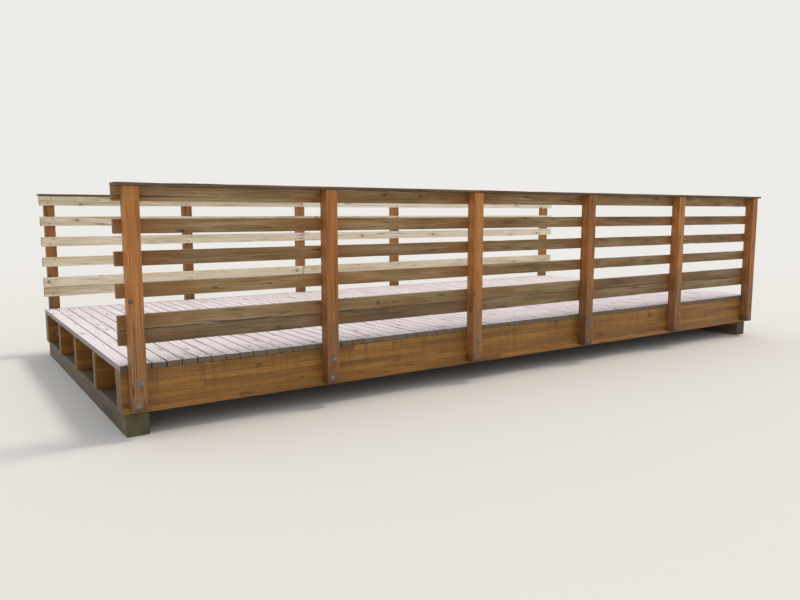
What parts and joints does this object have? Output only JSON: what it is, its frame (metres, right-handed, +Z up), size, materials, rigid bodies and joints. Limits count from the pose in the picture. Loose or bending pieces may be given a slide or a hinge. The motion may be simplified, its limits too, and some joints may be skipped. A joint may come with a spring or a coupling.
{
  "type": "wooden footbridge",
  "caption": "Timber footbridge on glued edge girders, with a cross-boarded deck and an open post and rail guard with a flat cap along each side.",
  "frame": {"origin": "on the ground under the middle of the bridge, level with the undersides of the sill timbers", "axes": "+X along the bridge, from the end nearer the picture's camera to the end further from it; +Y across it, from the near guard to the far guard; +Z up"},
  "size_m": [6.705, 3.239, 1.527],
  "materials": {
    "rail_timber": "semi-transparent brown stain on sawn softwood, weathered",
    "cap_timber": "semi-transparent brown stain on sawn softwood, weathered grey on top",
    "post_timber": "orange-brown stain on sawn softwood",
    "girder_timber": "orange-brown stain on planed glued-laminated softwood",
    "blocking_timber": "brown stain on sawn softwood",
    "deck_timber": "bare softwood bleached by sun and foot traffic",
    "sill_timber": "preservative-treated sawn softwood, dull",
    "zinc_steel": "hot-dip galvanised, dull grey"
  },
  "bodies": {
    "root": {"near_kick_rail_lower": "rail_timber", "near_kick_rail_upper": "rail_timber", "near_lower_rail": "rail_timber", "near_middle_rail": "rail_timber", "near_upper_rail": "rail_timber", "near_top_rail": "rail_timber", "far_kick_rail_lower": "rail_timber", "far_kick_rail_upper": "rail_timber", "far_lower_rail": "rail_timber", "far_middle_rail": "rail_timber", "far_upper_rail": "rail_timber", "far_top_rail": "rail_timber", "near_cap": "cap_timber", "far_cap": "cap_timber", "near_post_1": "post_timber", "near_post_2": "post_timber", "near_post_3": "post_timber", "near_post_4": "post_timber", "near_post_5": "post_timber", "near_post_6": "post_timber", "far_post_1": "post_timber", "far_post_2": "post_timber", "far_post_3": "post_timber", "far_post_4": "post_timber", "far_post_5": "post_timber", "far_post_6": "post_timber", "near_girder": "girder_timber", "far_girder": "girder_timber", "near_stringer": "girder_timber", "centre_stringer": "girder_timber", "far_stringer": "girder_timber", "left_blocking": "blocking_timber", "middle_blocking": "blocking_timber", "right_blocking": "blocking_timber", "deck_bay_1": "deck_timber", "deck_bay_2": "deck_timber", "deck_bay_3": "deck_timber", "deck_bay_4": "deck_timber", "deck_bay_5": "deck_timber", "left_sill": "sill_timber", "right_sill": "sill_timber"}
  },
  "joints": []
}
